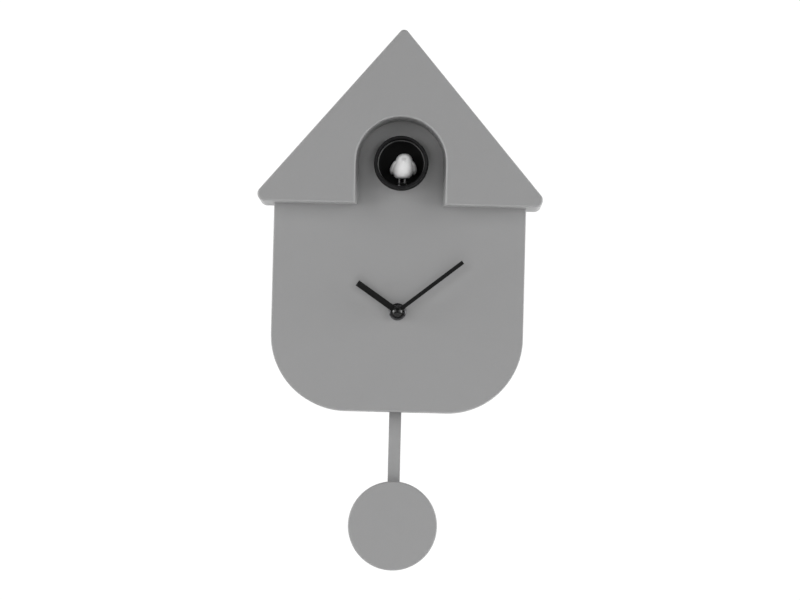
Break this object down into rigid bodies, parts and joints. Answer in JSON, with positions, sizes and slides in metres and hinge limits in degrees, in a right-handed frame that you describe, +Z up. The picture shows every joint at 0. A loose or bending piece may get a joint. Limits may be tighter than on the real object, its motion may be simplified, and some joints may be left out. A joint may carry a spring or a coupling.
{
  "type": "cuckoo clock",
  "caption": "Wall-hung cuckoo clock: gabled roof over a round-cornered body, a bird that slides out of a round port, hour and minute hands, and a swinging disc pendulum.",
  "frame": {"origin": "the round entry of the hanger plate, on the rear plane that lies on the wall", "axes": "+Z up, +Y into the wall, +X to the right as seen from the front"},
  "size_m": [0.2152, 0.08, 0.4083],
  "materials": {
    "casing_grey": "fine satin grey moulding",
    "cover_grey": "fine textured grey moulding",
    "screw_steel": "zinc plated",
    "plate_steel": "zinc plated sheet",
    "port_black": "black satin gloss",
    "clear_lens": "clear dome",
    "mechanism_black": "black matt moulding",
    "shaft_steel": "bright steel",
    "motor_can": "drawn steel can",
    "gear_plastic": "natural acetal",
    "bird_white": "white satin",
    "leg_grey": "grey",
    "speaker_metal": "black pressed basket",
    "cone_black": "black paper cone",
    "magnet_metal": "dark sintered magnet",
    "board_green": "solder mask",
    "component_black": "moulded components",
    "knob_black": "black knurled",
    "contact_nickel": "nickel plated spring strip",
    "cell_wrap": "plain blue sleeve",
    "movement_black": "black fine texture",
    "bush_brass": "turned",
    "nut_dark": "dark bright turned",
    "gasket_rubber": "rubber",
    "stator_iron": "stamped sheet",
    "coil_copper": "enamelled wire",
    "hand_black": "matt black",
    "cap_black": "gloss black",
    "lead_jacket": "insulated wire"
  },
  "bodies": {
    "case": {"roof_shell": "casing_grey", "body_shell": "casing_grey", "rear_cover": "cover_grey", "case_screws": "screw_steel", "hanger_plate": "plate_steel", "bird_port": "port_black", "port_trim_ring": "casing_grey", "light_sensor": "clear_lens", "mechanism_frame": "mechanism_black", "gear_pins": "shaft_steel", "motor": "motor_can", "module_screws": "screw_steel", "speaker_frame": "speaker_metal", "speaker_cone": "cone_black", "speaker_magnet": "magnet_metal", "main_board": "board_green", "board_components": "component_black", "battery_contacts": "contact_nickel", "sound_cell_left": "cell_wrap", "sound_cell_right": "cell_wrap", "movement_front_case": "movement_black", "movement_rear_case": "movement_black", "shaft_bush": "bush_brass", "shaft_nut": "nut_dark", "shaft_gasket": "gasket_rubber", "stator": "stator_iron", "stepping_coil": "coil_copper", "drive_coil": "coil_copper", "movement_board": "board_green", "quartz_crystal": "contact_nickel", "movement_contacts": "contact_nickel", "movement_cell": "cell_wrap", "hanger_pin": "shaft_steel", "speaker_leads": "lead_jacket", "motor_leads": "lead_jacket", "battery_leads": "lead_jacket"},
    "door": {"battery_door": "cover_grey"},
    "minute": {"centre_wheel": "shaft_steel", "minute_hand": "hand_black", "hand_cap": "cap_black"},
    "hour": {"hour_wheel": "gear_plastic", "hour_hand": "hand_black"},
    "motion": {"motion_wheel": "gear_plastic"},
    "setting": {"set_knob": "knob_black"},
    "third": {"third_wheel": "gear_plastic"},
    "step_rotor": {"rotor": "magnet_metal"},
    "bird_slide": {"bird": "bird_white", "bird_legs": "leg_grey", "bird_carriage": "mechanism_black"},
    "drive": {"drive_gear": "gear_plastic"},
    "reduction": {"reduction_gear": "gear_plastic"},
    "armature": {"motor_armature": "shaft_steel"},
    "pendulum": {"pendulum_hanger": "mechanism_black", "drive_magnet": "magnet_metal", "pendulum_rod": "casing_grey", "pendulum_bob": "casing_grey", "bob_back_plate": "casing_grey"},
    "volume": {"volume_knob": "knob_black"},
    "mode": {"mode_slider": "knob_black"}
  },
  "joints": [
    {"name": "minute_turn", "type": "hinge", "parent": "case", "child": "minute", "pos_m": [0, -0.061, -0.146], "axis": [0, 1, 0], "continuous": true},
    {"name": "hour_turn", "type": "hinge", "parent": "case", "child": "hour", "pos_m": [0, -0.059, -0.146], "axis": [0, 1, 0], "continuous": true},
    {"name": "motion_turn", "type": "hinge", "parent": "case", "child": "motion", "pos_m": [0.0094, -0.046, -0.14258], "axis": [0, 1, 0], "continuous": true},
    {"name": "setting_turn", "type": "hinge", "parent": "case", "child": "setting", "pos_m": [0.01846, -0.031, -0.14681], "axis": [0, 1, 0], "continuous": true},
    {"name": "third_turn", "type": "hinge", "parent": "case", "child": "third", "pos_m": [-0.01015, -0.042, -0.14231], "axis": [0, 1, 0], "continuous": true},
    {"name": "rotor_turn", "type": "hinge", "parent": "case", "child": "step_rotor", "pos_m": [-0.0144, -0.04, -0.13495], "axis": [0, 1, 0], "continuous": true},
    {"name": "bird_out", "type": "slide", "parent": "case", "child": "bird_slide", "axis": [0, -1, 0], "range_m": [0, 0.02]},
    {"name": "drive_turn", "type": "hinge", "parent": "case", "child": "drive", "pos_m": [0.0078, -0.028, -0.04328], "axis": [-1, 0, 0], "range_deg": [0, 239]},
    {"name": "reduction_turn", "type": "hinge", "parent": "case", "child": "reduction", "pos_m": [0.0115, -0.02175, -0.03245], "axis": [-1, 0, 0], "range_deg": [-956, 0]},
    {"name": "armature_turn", "type": "hinge", "parent": "case", "child": "armature", "pos_m": [0, -0.02602, -0.02071], "axis": [-1, 0, 0], "range_deg": [0, 3822]},
    {"name": "pendulum_swing", "type": "hinge", "parent": "case", "child": "pendulum", "pos_m": [0, -0.027, -0.106], "axis": [0, 1, 0], "range_deg": [-5, 5]},
    {"name": "volume_turn", "type": "hinge", "parent": "case", "child": "volume", "pos_m": [-0.07, -0.003, -0.162], "axis": [0, 1, 0], "range_deg": [-135, 135]},
    {"name": "mode_slide", "type": "slide", "parent": "case", "child": "mode", "axis": [1, 0, 0], "range_m": [-0.0028, 0.0028]},
    {"name": "door_off", "type": "slide", "parent": "case", "child": "door", "axis": [0, 1, 0], "range_m": [0, 0.015]}
  ],
  "couplings": [
    {"joint": "hour_turn", "follows": "minute_turn", "ratio": 0.083333},
    {"joint": "motion_turn", "follows": "minute_turn", "ratio": -0.33333},
    {"joint": "setting_turn", "follows": "minute_turn", "ratio": 1},
    {"joint": "third_turn", "follows": "minute_turn", "ratio": -8},
    {"joint": "rotor_turn", "follows": "minute_turn", "ratio": 60},
    {"joint": "drive_turn", "follows": "bird_out", "rad_per_m": 208.33},
    {"joint": "reduction_turn", "follows": "bird_out", "rad_per_m": -833.33},
    {"joint": "armature_turn", "follows": "bird_out", "rad_per_m": 3333.3}
  ]
}
